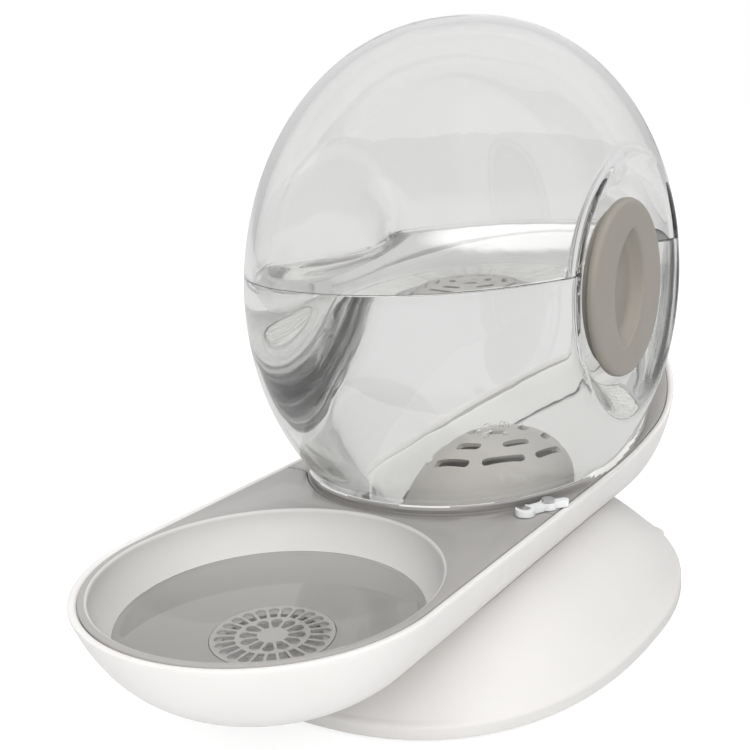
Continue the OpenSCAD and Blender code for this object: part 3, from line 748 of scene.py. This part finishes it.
def on_collar_side(x, y, gap):
    """Whether points lie on the collar's side of the cross joint, moved forward by a gap."""
    blend_y = JOINT_Y - JOINT_BLEND_R
    blend_x = sqrt((JOINT_R + JOINT_BLEND_R) ** 2 - (blend_y - JOINT_C_Y) ** 2)
    side = np.abs(x)
    share = side / blend_x
    in_corner = ((side < blend_x) & (y < JOINT_C_Y + (JOINT_Y - JOINT_C_Y) * share)
                 & (y > JOINT_C_Y + (blend_y - JOINT_C_Y) * share)
                 & (np.hypot(side - blend_x, y - blend_y) > JOINT_BLEND_R - gap))
    in_round = np.hypot(x, y - JOINT_C_Y) < JOINT_R + gap
    return (y > JOINT_Y - gap) | in_round | in_corner


def make_tray():
    """The deck's front part with the drinking bowl hung in it."""
    corner = Vector((1, 0)).angle(Vector((hull_half(DECK_Z, DECK_INSET), JOINT_Y - FIT - BOW_Y)))
    steps = 360
    turn = np.sort(np.concatenate([np.arange(steps) * 2 * pi / steps + 0.001, [corner, pi - corner]]))
    ways = np.stack([np.cos(turn), np.sin(turn)], axis=-1)

    def place(far):
        return far * ways[:, 0], BOW_Y + far * ways[:, 1]

    def ring(far, z):
        return points(*place(far), z)

    def edge(z):
        def inside(far):
            x, y = place(far)
            return in_hull(x, y, z, DECK_INSET) & ~on_collar_side(x, y, FIT)
        return reach(inside, FAR, len(ways))

    sunk = BOWL_FLOOR_Z - GRATE_SINK
    seat_r = GRATE_R + FIT
    near = BOWL_R + BOWL_EDGE
    profile = soft([(GRATE_HOLE_R, sunk - GRATE_SEAT, 0), (GRATE_HOLE_R, sunk, 0.3),
                    (seat_r, sunk, 0.2), (seat_r, BOWL_FLOOR_Z + 0.25, 0)])
    profile += bowl_curve(0, BOWL_FLOOR_TURN, 87, 44)
    profile += lean((BOWL_R - 0.05, DECK_Z - BOWL_EDGE), (BOWL_R, DECK_Z), (near, DECK_Z), 6)
    rings = [ring(r, z) for r, z in profile]
    far = edge(DECK_Z - 0.2)
    under = DECK_Z - DECK_H
    rings += [ring(near + (far - 0.6 - near) * t, DECK_Z) for t in (0.2, 0.6, 1.0)]
    rings += [ring(far - 0.2, DECK_Z - 0.15), ring(far, DECK_Z - 0.6), ring(edge(under), under)]
    for r, z in [(BOWL_R + BOWL_WALL, under)] + bowl_curve(BOWL_WALL, 84, 26, 24):
        rings.append(ring(np.minimum(r, edge(z)), z))
    rings += [ring(seat_r + GRATE_SEAT, sunk), ring(seat_r + GRATE_SEAT, sunk - GRATE_SEAT)]
    peg_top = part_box("deck_clip")[1].z / MM
    peg = turned(soft([(0, DECK_Z - 1, 0), (PEG_R, DECK_Z - 1, 0), (PEG_R, peg_top, 0.3), (0, peg_top, 0)]),
                 claw_place(), 32)
    tray = shape("tray_body", [(rings, True), (peg, False)], DECK_GREY, node="bowl_tray")
    # The bowl's inward faces take the lighter grey, which is painted light.
    tray.data.materials.append(BOWL_PAINTED_LIGHT_GREY)
    for face in tray.data.polygons:
        x, y, z = face.center / MM
        out = Vector((x, y - HOME_Y - BOW_Y))
        faces_in = face.normal.to_2d().dot(out) < 0.001 * out.length
        if out.length < BOWL_R + 0.9 and z > sunk - 1 and faces_in:
            face.material_index = 1


def claw_place():
    """Middle of the clip's claw, at the end of the clip's turned arm."""
    low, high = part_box("clip_pin")
    x, y = (low.x + high.x) / 2 / MM, (low.y + high.y) / 2 / MM - HOME_Y
    return x + CLIP_LEN * sin(CLIP_TURN), y - CLIP_LEN * cos(CLIP_TURN)


def make_collar():
    """The deck's rear part, swept up the stern, with the lip that hugs the tank."""
    corner = Vector((1, 0)).angle(Vector((hull_half(DECK_Z, DECK_INSET), JOINT_Y)))
    steps = 480
    turn = np.sort(np.concatenate([np.arange(steps) * 2 * pi / steps + 0.001,
                                   [2 * pi - corner, pi + corner]]))
    ways = np.stack([np.cos(turn), np.sin(turn)], axis=-1)

    def end(inside, up):
        """Distance at which a form ends on the deck's surface, raised by up."""
        def on_deck(far):
            x, y = far * ways[:, 0], far * ways[:, 1]
            return inside(x, y, deck_top(y) + up)
        return reach(on_deck, FAR, len(ways))

    def tank(grow):
        return lambda x, y, z: np.abs(x) < tank_x(np.hypot(y, z - AXIS_Z), grow)

    def deck_form(x, y, z):
        return in_hull(x, y, z, DECK_INSET) & on_collar_side(x, y, 0.0)

    def ring(far, up):
        x, y = far * ways[:, 0], far * ways[:, 1]
        return points(x, y, deck_top(y) + up)

    edge = end(deck_form, 0.0)
    rings = [ring(np.minimum(end(tank(LIP_GAP), up), edge - 0.3), up)
             for up in np.linspace(-DECK_H, LIP_H - 0.5, 6)]
    inner, outer = end(tank(LIP_GAP), LIP_H), end(tank(LIP_GAP + LIP_W), LIP_H)
    lip_edge = np.minimum(outer, edge - 0.1)
    inner = np.minimum(inner, lip_edge - 0.2)
    width = lip_edge - inner
    rings += [ring(inner + width * 0.2, LIP_H - 0.1), ring(inner + width * 0.5, LIP_H),
              ring(inner + width * 0.8, LIP_H - 0.1)]
    rings += [ring(np.minimum(end(tank(LIP_GAP + LIP_W), up), edge - 0.1), up)
              for up in (LIP_H - 0.5, 2.4, 1.2, 0.5)]
    foot = np.minimum(end(tank(LIP_GAP + LIP_W), 0.0), edge - 0.1)
    near = np.minimum(foot + 0.4, edge - 0.08)
    rings += [ring(near + (np.maximum(edge - 0.5, near) - near) * t, 0.0) for t in (0, 0.3, 0.7, 1.0)]
    rings += [ring(edge - 0.06, -0.12), ring(edge, -0.5), ring(end(deck_form, -DECK_H), -DECK_H)]
    collar = shape("collar_body", [(rings, True)], DECK_GREY, node="deck_collar")
    # The lip's inside takes the cradle's white, made brighter with painted light.
    collar.data.materials.append(CRADLE_PAINTED_LIGHT_WHITE)
    for face in collar.data.polygons:
        x, y, z = face.center / MM
        if abs(x) < tank_x(np.hypot(y - HOME_Y, z - AXIS_Z), LIP_GAP + LIP_LINE):
            face.material_index = 1


# Foot

def make_foot():
    """The flared oval foot, hollow below, cut to the hull's form at its seam."""
    centres, ways = two_ended(FOOT_FRONT_Y, FOOT_REAR_Y, arc=100, side=30)
    top_r = float(hull_half(SEAM_Z)) + SEAM_GAP
    knee_r, knee_z = FOOT_R - FOOT_KNEE, FOOT_BASE_Z + FOOT_BAND_H + FOOT_KNEE / 2
    base = soft([(FOOT_R - 3, FOOT_BASE_Z, 0), (FOOT_R, FOOT_BASE_Z, 0.5),
                 (FOOT_R, FOOT_BASE_Z + FOOT_BAND_H, 0)])[1:-1]
    base += lean((FOOT_R, FOOT_BASE_Z + FOOT_BAND_H - 1), (FOOT_R, FOOT_BASE_Z + FOOT_BAND_H),
                 (knee_r, knee_z), 8)
    flare = np.array(lean((knee_r, knee_z), (FOOT_R - FLARE_IN, SEAM_Z - FLARE_DOWN), (top_r, SEAM_Z), 200))

    def on_flare(share):
        at = share * (len(flare) - 1)
        return (np.interp(at, np.arange(len(flare)), flare[:, 0]),
                np.interp(at, np.arange(len(flare)), flare[:, 1]))

    def in_plan(far):
        along = (centres[:, 1] + far * ways[:, 1] - FOOT_MID_Y) / FOOT_HALF_LEN
        fullness = np.where(along < 0, FOOT_FRONT_FULLNESS, FOOT_REAR_FULLNESS)
        return np.abs(far * ways[:, 0] / FOOT_HALF_W) ** fullness + np.abs(along) ** fullness < 1

    swell = reach(in_plan, FAR, len(ways)) - FOOT_R

    def place(far):
        out = far + swell * np.clip((far - top_r) / (FOOT_R - top_r), 0, 1)
        return out * ways[:, 0], centres[:, 1] + out * ways[:, 1]

    def ring(far, z):
        return points(*place(far), z)

    def clear_of_hull(share):
        far, z = on_flare(share)
        x, y = place(far)
        return ~in_hull(x, y, z, -SEAM_GAP) & (z > 0)

    seam = reach(clear_of_hull, 1.0, len(ways))
    under_plate = PLATE_Z - PLATE_H
    inner = FOOT_R - FOOT_WALL
    rings = [points([0], [FOOT_MID_Y], under_plate), ring(inner - 6, under_plate),
             ring(inner - 2, 7), ring(inner, 4), ring(inner, FOOT_BASE_Z)]
    rings += [ring(r, z) for r, z in base]
    for share in np.linspace(0, 1, 40)[1:]:
        far, z = on_flare(seam * share)
        rings.append(ring(far, z))
    far, z = on_flare(seam)
    inset = far - FOOT_WALL * 1.4
    x, _ = place(inset)
    rings.append(ring(inset, np.maximum(np.minimum(hull_bottom(np.abs(x), -FIT), z), PLATE_Z)))
    rings += [ring(inset - 0.5, PLATE_Z), points([0], [FOOT_MID_Y], PLATE_Z)]
    shells = [(rings, False)]
    boss = soft([(PAD_R + FIT, FOOT_BASE_Z, 0), (PAD_BOSS_R, FOOT_BASE_Z, 0.3),
                 (PAD_BOSS_R, PAD_BOSS_TOP_Z, 0), (0, PAD_BOSS_TOP_Z, 0),
                 (0, PAD_TOP_Z, 0), (PAD_R + FIT, PAD_TOP_Z, 0)])
    low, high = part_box("foot_pads")
    for x in (low.x / MM + PAD_R, high.x / MM - PAD_R):
        for y in (low.y / MM + PAD_R - HOME_Y, high.y / MM - PAD_R - HOME_Y):
            shells.append((turned(boss, (x, y), 48), True))
    shape("foot_body", shells, FOOT_PAINTED_SHADE_WHITE, node="pedestal_foot")


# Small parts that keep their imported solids

def finish_node(name, material, bevel=0.0):
    """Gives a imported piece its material, smooth faces and, where asked, soft edges."""
    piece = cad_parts[name]
    piece.data.materials.clear()
    piece.data.materials.append(material)
    smooth(piece.data)
    if bevel:
        edges = piece.modifiers.new("soft_edges", "BEVEL")
        edges.width = bevel * MM
        edges.segments = 2
        edges.limit_method = "ANGLE"
        edges.angle_limit = radians(40)


def make_spring():
    """The valve's spring, copied in steel from the imported coil."""
    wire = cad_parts["valve_spring"]
    coil = add_object("spring_coil", wire.data.copy())
    coil.data.materials.clear()
    coil.data.materials.append(STEEL)
    smooth(coil.data, 60)
    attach(coil, "base")
    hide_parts("valve_spring")
    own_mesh(coil)


def finish_small_parts():
    finish_node("bowl_grate", GRATE_GREY, bevel=0.35)
    finish_node("strainer_dome", STRAINER_GREY)
    finish_node("outlet_cap", PART_WHITE)
    finish_node("tank_seat", CRADLE_PAINTED_LIGHT_WHITE)
    finish_node("valve_stem", PART_WHITE)
    finish_node("valve_washer", RUBBER)
    finish_node("outlet_seal", SILICONE)
    finish_node("fill_cap_seal", SILICONE)
    finish_node("foot_pads", RUBBER, bevel=0.3)
    finish_node("foot_screws", STEEL)
    finish_node("clip_pin", STEEL, bevel=0.15)
    finish_node("deck_clip", CLIP_WHITE, bevel=0.35)


# Studio

# Places and sizes are in metres here
WHITE = (1, 1, 1, 1)
FLOOR_HALF = 6.0
FLOOR_Z = -0.0004
# Where the floor starts to glow more, and where it glows most
FLOOR_FADE = (0.2, 0.8)
FLOOR_GLOW = (0.74, 0.85)
FLOOR_GLOW_THROUGH_GLASS = 0.68
FLOOR_TONE = 0.42
FLOOR_TONE_THROUGH_GLASS = 0.08
EVEN_LIGHT = 0.42
# The room that gloss mirrors: the heights between which its light rises, and the light
ROOM_RISE = (-0.2, 0.55)
ROOM_LIGHT = (0.45, 1.2)
# Light behind glass, seen straight through and once it has been mirrored
GLASS_LIGHT = (0.78, 0.50)
# A window that the water's surface mirrors: its direction, flattening, edge and light
WINDOW = (-0.430, 0.894, 0.128)
WINDOW_FLATTENING = (1, 1, 6.4)
WINDOW_EDGE = (0.08, 0.13)
WINDOW_LIGHT = 1.1


def make_floor():
    """White floor that shows the object's shadow and reads as white background."""
    half = FLOOR_HALF
    mesh = bpy.data.meshes.new("studio_floor")
    mesh.from_pydata([(-half, -half, FLOOR_Z), (half, -half, FLOOR_Z), (half, half, FLOOR_Z),
                      (-half, half, FLOOR_Z)], [], [(0, 1, 2, 3)])
    floor = add_object("studio_floor", mesh)
    nodes = new_material("studio_floor")
    path = nodes.add("ShaderNodeLightPath").outputs
    by_camera = path["Is Camera Ray"]
    away = nodes.join("ShaderNodeVectorMath", surface_place(nodes), operation="LENGTH", gives="Value")
    glow_seen = nodes.ramp(away, FLOOR_FADE, FLOOR_GLOW)
    level = nodes.ramp(by_camera, (0, 1), (FLOOR_GLOW_THROUGH_GLASS, glow_seen))
    tone = nodes.ramp(by_camera, (0, 1), (FLOOR_TONE_THROUGH_GLASS, FLOOR_TONE))
    pale = nodes.add("ShaderNodeBsdfDiffuse", Color=tone)
    glow = nodes.add("ShaderNodeEmission", Color=WHITE, Strength=level)
    glowing = nodes.join("ShaderNodeAddShader", pale.outputs["BSDF"], glow.outputs["Emission"])
    matt = nodes.add("ShaderNodeBsdfDiffuse", Color=opaque((0.90, 0.90, 0.90)))
    seen = nodes.join("ShaderNodeMath", by_camera, path["Is Transmission Ray"], operation="MAXIMUM")
    seen_or_mirrored = nodes.join("ShaderNodeMath", seen, path["Is Glossy Ray"], operation="MAXIMUM")
    mesh.materials.append(nodes.show(
        nodes.join("ShaderNodeMixShader", seen_or_mirrored, matt.outputs["BSDF"], glowing)))


def make_world():
    """White surroundings for the camera, a soft room for gloss, a grey one with a window behind
    glass, and even light."""
    nodes = Nodes(bpy.data.worlds.new("studio"), "ShaderNodeOutputWorld")
    path = nodes.add("ShaderNodeLightPath").outputs
    toward = nodes.add("ShaderNodeTexCoord").outputs["Generated"]
    up = nodes.join("ShaderNodeSeparateXYZ", toward, gives="Z")
    room = nodes.ramp(up, ROOM_RISE, ROOM_LIGHT, interpolation_type="SMOOTHSTEP")

    aim = nodes.join("ShaderNodeVectorMath", toward, WINDOW, operation="SUBTRACT")
    aim = nodes.join("ShaderNodeVectorMath", aim, WINDOW_FLATTENING, operation="MULTIPLY")
    miss = nodes.join("ShaderNodeVectorMath", aim, operation="LENGTH", gives="Value")
    pane = nodes.ramp(miss, WINDOW_EDGE, (WINDOW_LIGHT, 0.0), interpolation_type="SMOOTHSTEP")
    mirrored = nodes.join("ShaderNodeMath", path["Glossy Depth"], 1.0, operation="MINIMUM")
    dim = nodes.ramp(path["Glossy Depth"], (0, 1), GLASS_LIGHT)
    behind_glass = nodes.join("ShaderNodeMath", pane, mirrored, dim, operation="MULTIPLY_ADD")

    def light(strength):
        return nodes.add("ShaderNodeBackground", Color=WHITE, Strength=strength).outputs[0]

    mixed = light(EVEN_LIGHT)
    for ray, strength in (("Is Glossy Ray", room), ("Is Transmission Ray", behind_glass),
                          ("Is Camera Ray", 1.0)):
        mixed = nodes.join("ShaderNodeMixShader", path[ray], mixed, light(strength))
    bpy.context.scene.world = nodes.show(mixed)


def add_lamp(name, place, aim, width, watts):
    """A large soft lamp that faces a point."""
    light = bpy.data.lights.new(name, "AREA")
    light.shape = "DISK"
    light.size = width
    light.energy = watts
    lamp = add_object(name, light)
    lamp.location = place
    lamp.rotation_euler = (Vector(aim) - Vector(place)).to_track_quat("-Z", "Y").to_euler()
    lamp.visible_glossy = False
    lamp.visible_transmission = False


def add_camera():
    """The photograph's view: its place is in millimetres, the rest in degrees and pixels."""
    place = Vector((215.68, HOME_Y - 381.03, 194.19)) * MM
    heading, dip, roll = radians(34.624), radians(13.276), radians(-3.327)
    focal, picture, sensor = 1120.22, 750, 36.0
    middle_x, middle_y = -0.855, -18.9
    ahead = Vector((-sin(heading) * cos(dip), cos(heading) * cos(dip), -sin(dip)))
    right = Vector((cos(heading), sin(heading), 0))
    up = right.cross(ahead)
    right, up = right * cos(roll) + up * sin(roll), up * cos(roll) - right * sin(roll)
    data = bpy.data.cameras.new("camera")
    data.sensor_width = sensor
    data.lens = focal / picture * sensor
    data.shift_x = middle_x / picture
    data.shift_y = middle_y / picture
    data.clip_start = 0.01
    camera = add_object("camera", data)
    camera.matrix_world = Matrix.Translation(place) @ Matrix((right, up, -ahead)).transposed().to_4x4()
    bpy.context.scene.camera = camera


def follow_light_through_water():
    """Lets light pass all the walls of the filled tank. With fewer bounces, parts of it turn dark."""
    limits = bpy.context.scene.cycles
    limits.max_bounces = 28
    limits.transmission_bounces = 28
    limits.glossy_bounces = 14
    limits.transparent_max_bounces = 28


make_tank()
make_tank_water()
make_bowl_water()
make_bubbles()
make_fill_cap()
make_hull()
make_tray()
make_collar()
make_foot()
make_spring()
finish_small_parts()
make_floor()
make_world()
add_lamp("key_lamp", place=(0.8, -1.4, 0.72), aim=(0, 0, 0.08), width=1.3, watts=15.5)
add_lamp("top_lamp", place=(0.35, 0.0, 1.4), aim=(0, 0, 0.05), width=1.2, watts=12.0)
add_lamp("fill_lamp", place=(-1.0, 1.2, 0.7), aim=(0, 0, 0.08), width=1.2, watts=6.0)
add_camera()
bpy.context.scene.view_settings.view_transform = "Standard"
follow_light_through_water()
